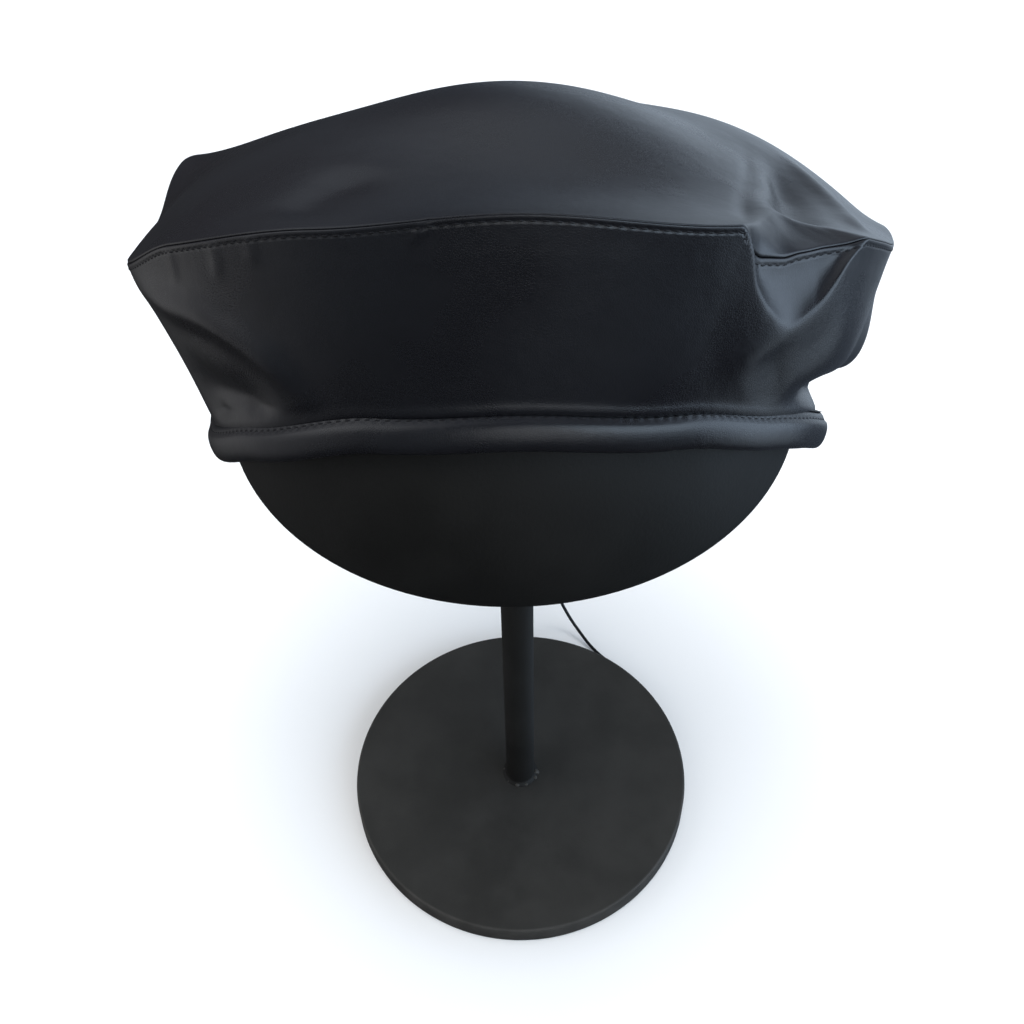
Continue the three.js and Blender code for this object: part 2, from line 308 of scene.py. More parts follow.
def paintMaterial(name, shade, wornAndSheen=False):  # shade: how light this copy of the paint is painted, where the base is 1; darker copies are painted shade, a lighter one a painted highlight
    shader = newShader(name)
    dust = shader.noise(paint["dust"], 4, 0.6).fade(0.3, 0.75)
    peel = shader.noise(paint["peel"], 3, 0.6)
    smooth, rough = paint["roughness"]
    dark, light = ([part * shade for part in paint[key][:3]] + [1] for key in ("dark", "light"))
    colour = shader.blend(dust, dark, light)
    if wornAndSheen:
        flat = shader.node(
            "ShaderNodeVectorMath", {"operation": "MULTIPLY"}, {0: shader.place(), 1: (1, 1, 0)},
        )
        radius = shader.node("ShaderNodeVectorMath", {"operation": "LENGTH"}, {0: flat}, output=1)
        # painted sheen: the whole side band outside the rim is painted lighter, more where the
        # chips noise is high as chipped wear; the specks by the post's foot are dust
        edge = radius.fade(paint["rim"] - paint["rimFade"], paint["rim"] + paint["rimFade"])
        chips = shader.noise(paint["chips"], 4, 0.65).fade(0.35, 0.7)
        nearFoot = 1 - radius.fade(0.2 * paint["scuffed"], paint["scuffed"])
        specks = shader.noise(paint["specks"], 2, 0.4).fade(0.72, 0.76) * nearFoot
        wearAndSheen = edge * (0.25 + chips * 0.5) + specks * 0.4
        colour = shader.blend(wearAndSheen, colour, paint["wornAndSheen"])
    return shader.finish(
        Base_Color=colour,
        Roughness=smooth + dust * (rough - smooth),
        Specular_IOR_Level=paint["specular"],
        Normal=shader.bump(peel, *paint["peelBump"]),
    )


thread = {
    "light": (0.008, 0.008, 0.01, 1),
    "twists": 2500,
    "twistBump": (0.1 * mm, 0.6),
    "roughness": 0.55,
    "specular": 0.25,
}


def threadMaterial(name, colour):
    shader = newShader(name)
    twist = shader.noise(thread["twists"], 2, 0.5)
    return shader.finish(
        Base_Color=shader.blend(twist, colour, thread["light"]),
        Roughness=thread["roughness"],
        Specular_IOR_Level=thread["specular"],
        Normal=shader.bump(twist, *thread["twistBump"]),
    )


sideLeather = leatherMaterial("crown_side_leather", stitch["belowSeam"])
topLeather = leatherMaterial("crown_top_leather")
bandLeather = leatherMaterial("band_leather", 0.0)
# the base's paint, with a painted sheen on its side band, chipped wear and dust specks
basePaint = paintMaterial("base_paint", 1, wornAndSheen=True)
# painted shade: the post and dome take the base's paint, painted darker where less light reaches
# them
postShadedPaint = paintMaterial("post_shaded_paint", 0.33)
domeShadedPaint = paintMaterial("dome_shaded_paint", 0.17)
# painted highlight: the weld beads take the base's paint, painted twice as light
weldLitPaint = paintMaterial("weld_lit_paint", 2)
cordThread = threadMaterial("cord", (0.004, 0.004, 0.005, 1))
seamThread = threadMaterial("seam_thread", (0.003, 0.003, 0.004, 1))
print("materials made")


# stage: a pale floor, one wide soft lamp, and soft glows all round that show in the leather

stage = {
    "floorSize": 8,
    "floorColour": (0.84, 0.84, 0.84, 1),
    "floorRoughness": 0.8,
    "ceilingHeight": 2,
    "ceilingSize": 1.6,
    "ceilingPower": 51,
    "wall": (0.03, 0.03, 0.032, 1),
    "glows": [  # azimuth from the front, height, the cosines it fades between, and colour
        (92, 8, 0.74, 1.0, (1.6, 2.0, 2.5, 1)),
        (50, 30, 0.88, 1.0, (2.0, 2.5, 3.0, 1)),
        (80, -28, 0.93, 1.0, (0.5, 0.6, 0.7, 1)),
        (10, 27, 0.86, 1.0, (1.1, 1.12, 1.15, 1)),
        (152, -17, 0.86, 1.0, (0.56, 0.66, 0.77, 1)),
        (130, -20, 0.35, 1.0, (0.05, 0.07, 0.10, 1)),
        (180, 52, 0.6, 1.0, (0.42, 0.46, 0.50, 1)),
        (-140, 25, 0.6, 1.0, (0.06, 0.06, 0.07, 1)),
        (-35, 32, 0.35, 1.0, (0.05, 0.06, 0.06, 1)),
        (-88, 36, 0.8, 1.0, (0.9, 0.92, 0.95, 1)),
        (-88, -2, 0.65, 1.0, (0.28, 0.28, 0.29, 1)),
        (-115, -24, 0.90, 1.0, (0.2, 0.2, 0.2, 1)),
    ],
    "backdrop": (0.86, 0.86, 0.86, 1),
}


def heading(azimuth, height):  # a direction, in degrees from the front and above level
    across, up = math.radians(azimuth), math.radians(height)
    return (math.sin(across) * math.cos(up), -math.cos(across) * math.cos(up), math.sin(up))


def makeStage():
    bpy.ops.mesh.primitive_plane_add(size=stage["floorSize"], location=(0, 0, 0))
    floor = newest("floor")
    floor.data.materials.append(newShader("floor").finish(
        Base_Color=stage["floorColour"], Roughness=stage["floorRoughness"],
    ))
    floor.visible_glossy = False

    bpy.ops.object.light_add(type="AREA", location=(0, 0, stage["ceilingHeight"]))
    ceiling = bpy.context.active_object
    ceiling.name = "ceiling"
    ceiling.data.size = stage["ceilingSize"]
    ceiling.data.energy = stage["ceilingPower"]
    ceiling.visible_glossy = False

    world = bpy.data.worlds.new("room")
    bpy.context.scene.world = world
    shader = Shader(world)
    light = stage["wall"]
    for azimuth, height, out, full, colour in stage["glows"]:
        glow = shader.towards(heading(azimuth, height)).fade(out, full)
        light = shader.blend(glow, light, colour, "ADD")
    direct = shader.node("ShaderNodeLightPath")
    shader.finish(Color=shader.blend(direct, light, stage["backdrop"]))
    bpy.context.scene.view_settings.view_transform = "Standard"


makeStage()
print("stage made")


# the stand

base = {"sides": 192, "edge": 1.2 * mm, "edgeSteps": 5, "smoothBelow": 35}


def makeBase():
    low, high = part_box("stand_base")
    bpy.ops.mesh.primitive_cylinder_add(
        vertices=base["sides"], radius=high.x, depth=high.z - low.z,
        location=(0, 0, (high.z + low.z) / 2),
    )
    piece = newest("stand_base_disc")
    bevel = piece.modifiers.new("edge", "BEVEL")
    bevel.width = base["edge"]
    bevel.segments = base["edgeSteps"]
    bevel.limit_method = "ANGLE"
    applyAll(piece)
    bpy.ops.object.shade_smooth_by_angle(angle=math.radians(base["smoothBelow"]))
    hand(piece, "stand_paint", basePaint, "stand_base")


post = {"sides": 96, "radius": 6.5 * mm, "flare": 1.8 * mm, "flareSteps": 4, "smoothBelow": 50}


def makePost():  # a tube whose foot spreads out where it is welded on
    low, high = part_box("stand_post")
    radius, flare, steps = post["radius"], post["flare"], post["flareSteps"]
    bpy.ops.mesh.primitive_cylinder_add(
        vertices=post["sides"], radius=radius, depth=high.z - low.z - flare,
        location=(0, 0, (high.z + low.z + flare) / 2),
    )
    piece = newest("stand_post_tube")
    applyAll(piece)
    bpy.ops.object.mode_set(mode="EDIT")
    bpy.ops.mesh.select_all(action="DESELECT")
    bpy.ops.object.mode_set(mode="OBJECT")
    for face in piece.data.polygons:
        face.select = face.normal.z < -0.9
    bpy.ops.object.mode_set(mode="EDIT")
    bpy.ops.mesh.select_mode(type="FACE")
    for step in range(1, steps + 1):
        before = radius + (high.x - radius) * ((step - 1) / steps) ** 2
        after = radius + (high.x - radius) * (step / steps) ** 2
        bpy.ops.mesh.extrude_region_move(TRANSFORM_OT_translate={"value": (0, 0, -flare / steps)})
        bpy.ops.transform.resize(value=(after / before, after / before, 1))
    bpy.ops.object.mode_set(mode="OBJECT")
    bpy.ops.object.shade_smooth_by_angle(angle=math.radians(post["smoothBelow"]))
    hand(piece, "stand_paint", postShadedPaint, "stand_post")


domeShell = {"segments": 160, "rings": 80, "wall": 2 * mm, "lip": 0.5 * mm, "smoothBelow": 50}


def makeDome():  # half a ball with a wall, open below
    low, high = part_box("stand_dome")
    bpy.ops.mesh.primitive_uv_sphere_add(
        segments=domeShell["segments"], ring_count=domeShell["rings"], radius=1,
    )
    piece = newest("stand_dome_shell")
    bpy.ops.object.mode_set(mode="EDIT")
    bpy.ops.mesh.select_all(action="SELECT")
    bpy.ops.mesh.bisect(plane_co=(0, 0, 0), plane_no=(0, 0, 1), clear_inner=True)
    bpy.ops.object.mode_set(mode="OBJECT")
    piece.scale = (high.x, high.y, high.z - low.z)
    piece.location.z = low.z
    applyAll(piece)
    wall = piece.modifiers.new("wall", "SOLIDIFY")
    wall.thickness = domeShell["wall"]
    wall.offset = -1
    bevel = piece.modifiers.new("rim", "BEVEL")
    bevel.width = domeShell["lip"]
    bevel.segments = 3
    bevel.limit_method = "ANGLE"
    bevel.angle_limit = math.radians(60)
    applyAll(piece)
    bpy.ops.object.shade_smooth_by_angle(angle=math.radians(domeShell["smoothBelow"]))
    hand(piece, "stand_paint", domeShadedPaint, "stand_dome")


weld = {
    "reach": 7.4 * mm,
    "beads": [  # angle from the front, and size in millimetres
        (62, 1.0), (85, 1.35), (20, 0.75), (-12, 0.9),
        (-48, 0.6), (130, 0.8), (-100, 0.7), (175, 0.9),
    ],
    "raised": 0.35,  # of its size
    "stretch": (1.25, 1, 0.8),
    "lumpsPerMetre": 900,
    "lumpHeight": 0.3,
}


def makeWeld():  # beads of weld round the post's foot
    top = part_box("stand_base")[1].z
    beads = []
    for number, (angle, size) in enumerate(weld["beads"]):
        x, y, _ = heading(angle, 0)
        bpy.ops.mesh.primitive_ico_sphere_add(
            subdivisions=3, radius=size * mm,
            location=(x * weld["reach"], y * weld["reach"], top + weld["raised"] * size * mm),
        )
        bead = newest("bead")
        bead.scale = weld["stretch"]
        applyAll(bead)
        for vertex in bead.data.vertices:
            lump = noise.noise(vertex.co * weld["lumpsPerMetre"] + Vector((number, 0, 0)))
            vertex.co += vertex.normal * lump * weld["lumpHeight"] * size * mm
        beads.append(bead)
    selectOnly(*beads)
    bpy.ops.object.join()
    piece = newest("stand_weld_beads")
    bpy.ops.object.shade_smooth()
    hand(piece, "stand_paint", weldLitPaint)


makeBase()
makePost()
makeDome()
makeWeld()
hand(drawstring, "cord", cordThread, "drawstring")
print("stand made")


# the beret's surface, in millimetres, over azimuth in degrees from the front and
# level: 0 at the band, 1 at the crown seam, 2 in the middle of the top

dome = {"radius": 90, "height": 85, "rim": 272, "turnIn": 12}  # what the leather lies on
leather = {
    "thickness": 1.5,
    "ease": 0.55,  # its gap from the dome
    "bridging": 9, "creasing": 0.6,  # how softly it leaves the dome, before and after its folds
    "bridgingAhead": 0.2, "bridgingLeast": 0.05,  # it grows from this level below the band
    "seamRound": 1.1,
}
band = {
    "height": 11, "thickness": 5, "squareness": 0.92, "crownGap": 0.4,
    "groove": (8.9, 0.5, 0.5),  # the stitched groove's height, depth and width
    "strip": 0.4, "stripEdge": 0.35,  # how far the strip over the groove lies back
    "slope": 1.6,
    "chartBack": 50,  # keeps the back of the roll clear of the groove on its chart
    "flare": 0.6,  # how far the side panel's foot stands out in front, centred on an azimuth
    "flareAt": 12, "flareReach": 42, "flareDrop": 0.8, "flareWidth": 1.4,
    "columns": ("azimuth", "radius", "height", "tuck"),
    "rows": [
        (-165, 96, -25, 2), (-140, 96, -23, 2), (-120, 96, -20, 3), (-106, 96, -17, 3.5),
        (-92, 96, -14, 3.5), (-80, 96, -9, 3.5), (-68, 97, 4, 3.5), (-50, 93, 28, 2),
        (-25, 84, 48, 1.5), (0, 81, 53, 1.5), (30, 86, 45, 1.5), (50, 93, 28, 2),
        (60, 97, 16, 3), (69, 99.5, 2, 5), (80, 92, -15, 4.5), (92, 90, -22, 3.5),
        (115, 92, -25, 3), (140, 94, -26, 2), (165, 96, -26, 2),
    ],
}
crown = {
    "centre": (0, 45), "reach": 112, "bellySkew": 0.75, "waves": 70,
    # the rise column is not hand-set: a scratch script's least-squares fit to the outline
    # gave it, rounded to about half a millimetre, so it is due to be replaced by hand
    "columns": ("azimuth", "radius", "height", "belly", "rise"),
    "rows": [
        (-165, 105, -4, 9, 4), (-140, 110, 4, 8, 18.5), (-120, 115, 16, 5, 23),
        (-106, 116, 30, 2, 32), (-92, 113.5, 30, -4, 47.5), (-80, 115, 37, -4, 56),
        (-68, 119.5, 50, -1, 54), (-50, 115, 79, 0, 41.5), (-25, 110, 103, 0, 21.5),
        (0, 106, 111, 0, 2), (30, 111, 98.5, 0, -4), (40, 114.5, 91, 2, -1),
        (50, 117, 78, 4, 6), (60, 118.5, 63, 4, 12), (69, 120, 49, 3, 15.5),
        (80, 119, 37, 15, 19), (92, 118, 22, 21, 44), (115, 110, 10, 14, 66),
        (140, 106, 0, 10, 36), (165, 104, -6, 9, 11.5),
    ],
}
dip = {  # the seam's pushed-down front right corner, between its lowest and highest levels
    "rounding": 0.05, "bowl": 1.6, "reach": 0.6,  # how far the soft rounding goes past them
    "columns": ("azimuth", "inward", "down", "lowest", "highest"),
    "rows": [
        (29.8, 0, 0, 0.99, 1.01), (31, 0.8, 4, 0.95, 1.02), (32.6, 2.4, 9.5, 0.86, 1.04),
        (35, 3.5, 12.5, 0.68, 1.07), (38.5, 4.2, 12.6, 0.55, 1.11), (42, 4.8, 10.8, 0.49, 1.14),
        (46, 4.8, 8, 0.6, 1.16), (48.5, 3.8, 5.8, 0.73, 1.15), (50.5, 2.4, 3.8, 0.87, 1.12),
        (54, 0, 0, 0.98, 1.05),
    ],
}

detail = {  # how finely it is all cut into faces
    "around": 560, "sideRows": 76, "topRows": 104, "bandRows": 64,
    "denser": 1.3, "densestAt": 52, "denserReach": 26,  # where the right side is folded
    "footLevel": -0.05,  # the side panel tucks in behind the band
    "sideCrowding": 1.5, "topCrowding": 1.4,  # rows crowd together towards the seam
    "insideStart": 10, "insideEvery": 3,  # the inner wall keeps off the seam by this many rows
    "stitchRows": 14,  # rows below the seam, among which the stitches lie
    "stitchFacing": 5,  # the row whose normals they take
    "rimSteps": 1440, "fineSteps": 3600,
    "calming": 24,  # how many times the normals are evened out
}


def column(table, name, azimuth):  # one column at any azimuth, smooth and without overshoot
    rows = np.array(table["rows"], float)
    at, value = rows[:, 0], rows[:, table["columns"].index(name)]
    gap = (np.roll(at, -1) - at) % 360
    after = (np.roll(value, -1) - value) / gap
    before = np.roll(after, 1)
    product = before * after
    slope = np.where(product > 0, 2 * product / np.where(product > 0, before + after, 1), 0)
    angle = (np.asarray(azimuth, float) + 180) % 360 - 180
    last = np.searchsorted(at, angle, side="right") - 1
    following = (last + 1) % len(at)
    span = gap[last]
    t = ((angle - at[last]) % 360) / span
    t2, t3 = t * t, t * t * t
    return (
        (2 * t3 - 3 * t2 + 1) * value[last] + (t3 - 2 * t2 + t) * slope[last] * span
        + (3 * t2 - 2 * t3) * value[following] + (t3 - t2) * slope[following] * span
    )


def unit(vectors):
    return vectors / np.maximum(np.linalg.norm(vectors, axis=-1, keepdims=True), 1e-9)


def outwardFrom(centre, azimuth, radius, height):
    angle = np.radians(azimuth)
    x = centre[0] + radius * np.sin(angle)
    y = centre[1] - radius * np.cos(angle)
    return np.stack([x, y, dome["rim"] + height + 0 * x], -1)


def bandPoint(azimuth):  # on the band's lower outer edge
    radius, height = (column(band, name, azimuth) for name in ("radius", "height"))
    return outwardFrom((0, 0), azimuth, radius, height)


def seamPoint(azimuth):  # on the crown seam
    radius, height = (column(crown, name, azimuth) for name in ("radius", "height"))
    return outwardFrom(crown["centre"], azimuth, radius, height)


def bandFrame(azimuth):  # out of the hat, and up the band
    along = unit(bandPoint(azimuth + 1) - bandPoint(azimuth - 1))
    fromRim = unit(bandPoint(azimuth) - np.array([0, 0, dome["rim"]]))
    upward = unit(np.cross(fromRim, along))
    return unit(np.cross(along, upward)), upward


def liftOffDome(points, bridging):  # keeps the leather clear of the dome, easing away from it
    clear = dome["radius"] + leather["ease"] + leather["thickness"]
    above = points[..., 2] - dome["rim"]
    stretch = dome["radius"] / np.where(above > 0, dome["height"], dome["turnIn"])
    local = np.stack([points[..., 0], points[..., 1], above * stretch], -1)
    distance = np.linalg.norm(local, axis=-1)
    excess = distance - clear
    lifted = clear + (excess + np.hypot(excess, bridging)) / 2
    local *= (lifted / distance)[..., None]
    local[..., 2] = dome["rim"] + local[..., 2] / stretch
    return local


def sidePanel(azimuth, level):  # from the band out to the seam
    outward, upward = bandFrame(azimuth)
    tuck = column(band, "tuck", azimuth)[..., None]
    foot = bandPoint(azimuth) + upward * (band["height"] + band["crownGap"]) - outward * tuck
    seam = seamPoint(azimuth)
    rising = unit(seam - foot)
    angle = np.radians(azimuth)
    away = np.stack([np.sin(angle), -np.cos(angle), 0 * angle], -1)
    rounded = np.sin(np.pi * np.maximum(level, 0) ** crown["bellySkew"]) ** 2
    swell = (column(crown, "belly", azimuth) * rounded)[..., None]
    span = np.linalg.norm(seam - foot, axis=-1, keepdims=True)
    point = foot + (seam - foot) * level[..., None]
    besideFront = (azimuth[..., None] - band["flareAt"]) / band["flareReach"]
    aboveFoot = (level[..., None] * span + band["flareDrop"]) / band["flareWidth"]
    point = point + outward * band["flare"] * np.exp(-besideFront ** 4 - aboveFoot ** 2)
    point = point + away * swell * rising[..., 2:]
    point[..., 2] -= swell[..., 0] * (rising * away).sum(-1)
    return point


def tightened(values, azimuth, share):  # a rim's values, stretched over the disc inside it
    count = crown["waves"]
    waves = np.fft.rfft(values)[:count] * 2 / len(values)
    waves[0] /= 2
    rim = np.zeros(azimuth.shape)
    inner = np.zeros(azimuth.shape)
    angle = np.radians(azimuth + 180)
    for number, wave in enumerate(waves):
        turned = wave.real * np.cos(number * angle) - wave.imag * np.sin(number * angle)
        rim += turned
        inner += turned * share ** number
    steps = np.linspace(-180, 180, len(values) + 1)
    exact = np.interp(azimuth, steps, np.append(values, values[0]))
    return inner + (exact - rim) * share ** count


rimSteps = np.linspace(-180, 180, detail["rimSteps"], endpoint=False)
rimHeights = column(crown, "height", rimSteps)
rimRises = column(crown, "rise", rimSteps)


def topPanel(azimuth, inward):  # from the seam, 0, to the middle of the top, 1
    share = 1 - inward
    reach = crown["reach"]
    radius = share * (reach + (column(crown, "radius", azimuth) - reach) * share ** 2)
    rise = (1 - share ** 2) * tightened(rimRises, azimuth, share)
    height = tightened(rimHeights, azimuth, share) + rise
    return outwardFrom(crown["centre"], azimuth, radius, height)


def dipped(azimuth, level):  # how far the pushed-down corner moves each point
    lowest, highest = column(dip, "lowest", azimuth), column(dip, "highest", azimuth)
    below, above = (level - lowest) / (1 - lowest), (highest - level) / (highest - 1)
    share = np.where(level <= 1, below, above)
    soft = dip["rounding"]
    share = (share + np.hypot(share, soft)) / (1 + math.hypot(1, soft)) * (share > -dip["reach"])
    share = np.where(level <= 1, 1 - (1 - share) ** dip["bowl"], share)
    angle = np.radians(azimuth)
    inward = -share * column(dip, "inward", azimuth)
    down = -share * column(dip, "down", azimuth)
    return np.stack([inward * np.sin(angle), -inward * np.cos(angle), down], -1)


def crownBase(azimuth, level):  # the crown before its folds
    azimuth, level = np.broadcast_arrays(np.asarray(azimuth, float), np.asarray(level, float))
    side = sidePanel(azimuth, np.minimum(level, 1))
    top = topPanel(azimuth, np.clip(level - 1, 0, 1))
    point = np.where((level <= 1)[..., None], side, top) + dipped(azimuth, level)
    growing = np.clip(level + leather["bridgingAhead"], leather["bridgingLeast"], 1)
    return liftOffDome(point, leather["bridging"] * growing)


folds = {  # name: width, height, and a path of (azimuth, level) points
    "turned front edge": (2.2, -0.8, [
        (33, 1.04), (39.8, 1.18), (52, 1.3), (72, 1.37), (92.5, 1.36),
    ]),
    "edge beside it": (4, 1.2, [(36, 1.04), (43.8, 1.16), (53.8, 1.25), (73.8, 1.32), (92, 1.3)]),
    "corner hollow": (8, -4.8, [(49, 1.09), (54, 1.165), (61, 1.22), (74, 1.27), (92, 1.29)]),
    "ridge to the corner": (4, 1.8, [(100, 1.27), (80, 1.18), (66, 1.1), (60, 1.04)]),
    "ridge below the dip": (4, 0.5, [(45, 0.52), (41, 0.4), (37.5, 0.29), (33, 0.12)]),
    "right of that ridge": (10, -1.8, [(56, 0.5), (49, 0.38), (44.5, 0.24), (40, 0.06)]),
    "left ridge": (5.5, 2.8, [
        (-74, 0.92), (-63, 0.84), (-55.5, 0.7), (-46.5, 0.57), (-40, 0.38), (-37, 0.16),
        (-35, -0.1),
    ]),
    "under the left ridge": (10, -3.2, [(-66, 0.3), (-58, 0.17), (-49, 0.07), (-40, 0)]),
    "tuck by the band": (2.6, 1.5, [(-62, 0.15), (-55.5, 0.09), (-50.5, 0.05), (-45, 0.02)]),
    "left pleat": (2, 0.55, [(-50, 1), (-50.8, 0.91), (-52, 0.76)]),
    "middle pleat": (2, 0.5, [(-40.5, 1), (-41, 0.9), (-42.5, 0.76)]),
    "right pleat": (2, 0.4, [(-34, 1), (-34.4, 0.93), (-35.5, 0.8)]),
    "pucker": (3, 0.6, [(-11.6, 0.96), (-10.4, 0.92)]),
    "top valley": (9, -1.7, [(-32, 1.05), (-31, 1.14), (-30.5, 1.26), (-30, 1.38)]),
    "pinch over the band": (7, -6, [
        (48, 0.04), (57, 0.06), (66, 0.09), (74, 0.13), (84, 0.17), (94, 0.2),
    ]),
    "right droop": (12, -3, [(118, 0.3), (126, 0.72)]),
    "back droop": (13, -3, [(175, 0.3), (169, 0.7)]),
    "left droop": (12, -3, [(-132, 0.3), (-138, 0.7)]),
}
foldShape = {
    "pathSteps": 6,
    "endShare": 0.35,  # of a fold's length, over which it dies away at each end
    "sewnLevel": 0.07,  # below it the leather is held by the band
}


def smoothPath(knots):  # (azimuth, level) points along a rounded path
    knots = np.array(knots, float)
    knots = np.vstack([2 * knots[0] - knots[1], knots, 2 * knots[-1] - knots[-2]])
    path = []
    for a, b, c, d in zip(knots, knots[1:], knots[2:], knots[3:]):
        bend, twist = a - 2.5 * b + 2 * c - d / 2, 1.5 * (b - c) + (d - a) / 2
        for t in np.linspace(0, 1, foldShape["pathSteps"], endpoint=False):
            path.append(b + (c - a) * t / 2 + bend * t ** 2 + twist * t ** 3)
    path.append(knots[-2])
    return np.array(path)


def distanceTo(points, path):  # how far off the path each point is, and how far along it
    near = np.full(points.shape[:-1], 1e9)
    along = np.zeros(near.shape)
    for number, (a, b) in enumerate(zip(path, path[1:])):
        share = np.clip(((points - a) @ (b - a)) / max((b - a) @ (b - a), 1e-9), 0, 1)
        away = np.linalg.norm(points - a - share[..., None] * (b - a), axis=-1)
        along = np.where(away < near, (number + share) / (len(path) - 1), along)
        near = np.minimum(near, away)
    return near, along


def foldHeights(points, levels):  # how far the folds push each point along the surface's normal
    total = np.zeros(points.shape[:-1])
    for width, height, path in folds.values():
        path = smoothPath(path)
        near, along = distanceTo(points, crownBase(path[:, 0], path[:, 1]))
        ends = np.clip(np.minimum(along, 1 - along) / foldShape["endShare"], 0, 1)
        total += height * np.exp(-(near / width) ** 2) * ends ** 2 * (3 - 2 * ends)
    return total * np.clip(levels[:, None] / foldShape["sewnLevel"], 0, 1)


# rows and columns of points, and the sheets made of them

def azimuthSteps():  # once round, with the first column again at the end
    fine = np.linspace(-180, 180, detail["fineSteps"] + 1)
    beside = (fine - detail["densestAt"]) / detail["denserReach"]
    density = 1 + detail["denser"] * np.exp(-beside ** 4)
    travelled = np.concatenate([[0], np.cumsum((density[1:] + density[:-1]) / 2)])
    return np.interp(np.linspace(0, travelled[-1], detail["around"] + 1), travelled, fine)


def lengthAlong(line):  # how far along a line each of its points is
    steps = np.linalg.norm(np.diff(line, axis=0), axis=-1)
    return np.concatenate([[0], np.cumsum(steps)])


def gridNormals(points):  # of rows of points that close up round the hat
    first = points[:, 1:2] - points[:, -2:-1]
    around = np.concatenate([first, points[:, 2:] - points[:, :-2], first], 1)
    along = np.gradient(points, axis=0)
    return unit(np.cross(around, along))


def calmed(normals):  # normals evened out over the rows and columns near them
    for _ in range(detail["calming"]):
        around = np.concatenate([normals[:, -2:-1], normals, normals[:, 1:2]], 1)
        along = np.concatenate([normals[:1], normals, normals[-1:]])
        normals = unit(2 * normals + around[:, :-2] + around[:, 2:] + along[:-2] + along[2:])
    return normals


def sewnSheet(name, points, chart):  # a grid moved to its points, and joined where it closes
    rows, columns = points.shape[0] - 1, points.shape[1] - 1
    bpy.ops.mesh.primitive_grid_add(x_subdivisions=columns, y_subdivisions=rows, size=1)
    piece = newest(name)
    mesh = piece.data
    flat = np.zeros(len(mesh.vertices) * 3, np.float32)
    mesh.vertices.foreach_get("co", flat)
    flat = flat.reshape(-1, 3)
    across = np.rint((flat[:, 0] + 0.5) * columns).astype(int)
    down = np.rint((flat[:, 1] + 0.5) * rows).astype(int)
    corner = np.zeros(len(mesh.loops), np.int32)
    mesh.loops.foreach_get("vertex_index", corner)
    plan = chart[down, across][corner].astype(np.float32)
    mesh.uv_layers.active.data.foreach_set("uv", plan.ravel())
    mesh.vertices.foreach_set("co", (points[down, across] * mm).astype(np.float32).ravel())
    mesh.update()
    bpy.ops.object.mode_set(mode="EDIT")
    bpy.ops.mesh.select_all(action="SELECT")
    bpy.ops.mesh.remove_doubles(threshold=1e-6)
    bpy.ops.mesh.normals_make_consistent(inside=False)
    bpy.ops.object.mode_set(mode="OBJECT")
    bpy.ops.object.shade_smooth()
    return piece


def crownSurface():  # rows of points and normals from under the band to the middle of the top
    azimuth = azimuthSteps()
    foot = detail["footLevel"]
    t = np.linspace(0, 1, detail["sideRows"] + 1)
    sideLevels = foot + (1 - foot) * (1 - (1 - t) ** detail["sideCrowding"])
    t = np.linspace(0, 1, detail["topRows"] + 1)
    topLevels = 1 + t ** detail["topCrowding"]
    levels = np.concatenate([sideLevels, topLevels[1:]])
    points = crownBase(azimuth[None, :], levels[:, None])
    normals = gridNormals(points)
    normals[-1] = (0, 0, 1)
    points = points + calmed(normals) * foldHeights(points, levels)[..., None]
    points = liftOffDome(points, leather["creasing"])
    normals = gridNormals(points)
    normals[-1] = (0, 0, 1)
    return points, normals


def roundedEdge(points, seamRow, seamNormal):  # the leather turns under at the seam
    radius = leather["seamRound"]
    away = np.linalg.norm(points - points[seamRow], axis=-1)
    share = np.clip(1 - away / radius, 0, 1)
    drop = radius * (1 - np.sqrt(1 - share ** 2))
    return points - seamNormal * drop[..., None]


def makeCrown():
    points, normals = crownSurface()
    seam = detail["sideRows"]
    arc = lengthAlong(points[seam])
    away = np.linalg.norm(points - points[seam], axis=-1)
    chart = np.stack([np.broadcast_to(arc, away.shape), away], -1) * mm
    inside = points - normals * leather["thickness"]
    start, every = detail["insideStart"], detail["insideEvery"]
    evened = calmed(normals)

    side = roundedEdge(points[: seam + 1], seam, evened[seam])
    rows = list(range(0, seam - start, every))[::-1]
    sidePoints = np.concatenate([side, inside[rows], side[:1]])
    sideChart = np.concatenate([chart[: seam + 1], chart[rows], chart[:1]])
    sidePiece = sewnSheet("crown_side_leather", sidePoints, sideChart)

    top = roundedEdge(points[seam:], 0, evened[seam])
    middle = len(points) - 1
    rows = sorted({*range(seam + start, middle, every), middle}, reverse=True)
    topPoints = np.concatenate([inside[rows], top])
    topChart = np.concatenate([chart[rows], chart[seam:]])
    topPiece = sewnSheet("crown_top_leather", topPoints, topChart)

    rows = slice(seam, seam - detail["stitchRows"] - 1, -1)
    line = np.array([
        [np.interp(stitch["belowSeam"] / mm, gaps, axis) for axis in point.T]
        for gaps, point in zip(away[rows].T, points[rows].swapaxes(0, 1))
    ])
    sewRow("crown_seam_stitches", line, evened[seam - detail["stitchFacing"]])
    return sidePiece, topPiece


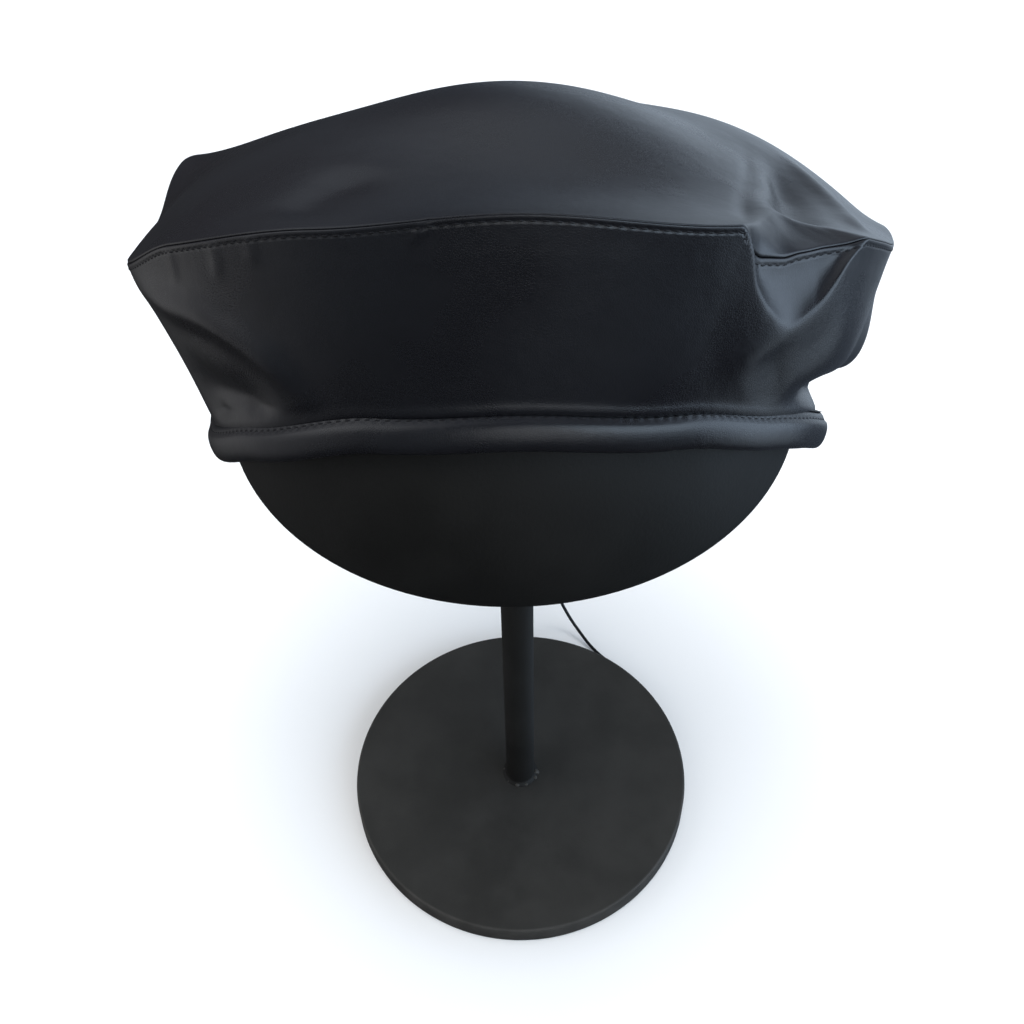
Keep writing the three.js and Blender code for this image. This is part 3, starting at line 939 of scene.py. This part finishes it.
def sewRow(name, line, outward):  # one stitch modelled once and copied along a closed line
    travelled = lengthAlong(line)
    count = round(travelled[-1] / (stitch["pitch"] / mm))
    bpy.ops.mesh.primitive_uv_sphere_add(segments=8, ring_count=6, radius=0.5)
    first = newest(name)
    first.scale = (stitch["length"], stitch["thickness"], stitch["thickness"])
    applyAll(first)
    bpy.ops.object.shade_smooth()
    copies = []
    for number in range(count):
        at = (number + 0.5) * travelled[-1] / count
        reach = stitch["length"] / mm / 2
        spots = ((at, line), (at + reach, line), (at - reach, line), (at, outward))
        place, ahead, behind, out = (
            Vector([np.interp(spot, travelled, axis) for axis in values.T])
            for spot, values in spots
        )
        forward = (ahead - behind).normalized()
        sideways = out.cross(forward).normalized()
        turn = Matrix((forward, sideways, forward.cross(sideways))).transposed()
        piece = first.copy()
        piece.data = first.data.copy()
        bpy.context.collection.objects.link(piece)
        seat = place * mm - out.normalized() * stitch["sunk"]
        piece.matrix_world = Matrix.LocRotScale(seat, turn.to_quaternion(), None)
        copies.append(piece)
    bpy.data.objects.remove(first)
    selectOnly(*copies)
    bpy.ops.object.join()
    row = newest(name)
    applyAll(row)
    hand(row, "cord", seamThread)


def bandProfile(turn):  # across and up from the band's lower outer edge
    cosine, sine = math.cos(turn), math.sin(turn)
    square = band["squareness"]
    across = (math.copysign(abs(cosine) ** square, cosine) - 1) * band["thickness"] / 2
    up = (math.copysign(abs(sine) ** square, sine) + 1) * band["height"] / 2
    level, depth, width = band["groove"]
    if cosine > 0:
        across -= band["slope"] * max(2 * up / band["height"] - 1, 0) ** 2
        across -= depth * math.exp(-((up - level) / width) ** 2)
        across -= band["strip"] / (1 + math.exp((level - up) / band["stripEdge"])) * cosine ** 0.5
    return across, up


def makeBand():
    azimuth = azimuthSteps()
    outward, upward = bandFrame(azimuth)
    foot = bandPoint(azimuth)
    turns = np.linspace(0, 2 * np.pi, detail["bandRows"] + 1)
    profile = [bandProfile(turn) for turn in turns]
    points = np.stack([foot + outward * across + upward * up for across, up in profile])
    points[-1] = points[0]
    groove = band["groove"][0]
    backs = [0 if math.cos(turn) > 0 else band["chartBack"] for turn in turns]
    heights = np.array([up - groove + back for (_, up), back in zip(profile, backs)])
    chart = np.stack(np.broadcast_arrays(lengthAlong(foot), heights[:, None]), -1) * mm
    sewn = math.asin((2 * groove / band["height"] - 1) ** (1 / band["squareness"]))
    across, up = bandProfile(sewn)
    sewRow("band_stitches", foot + outward * across + upward * up, outward)
    return sewnSheet("head_band_roll", points, chart)


headBand = makeBand()
hand(headBand, "band_leather", bandLeather, "head_band")
crownSide, crownTop = makeCrown()
hand(crownSide, "crown_leather", sideLeather, "crown_side")
hand(crownTop, "crown_leather", topLeather, "crown_top")
print("beret made")
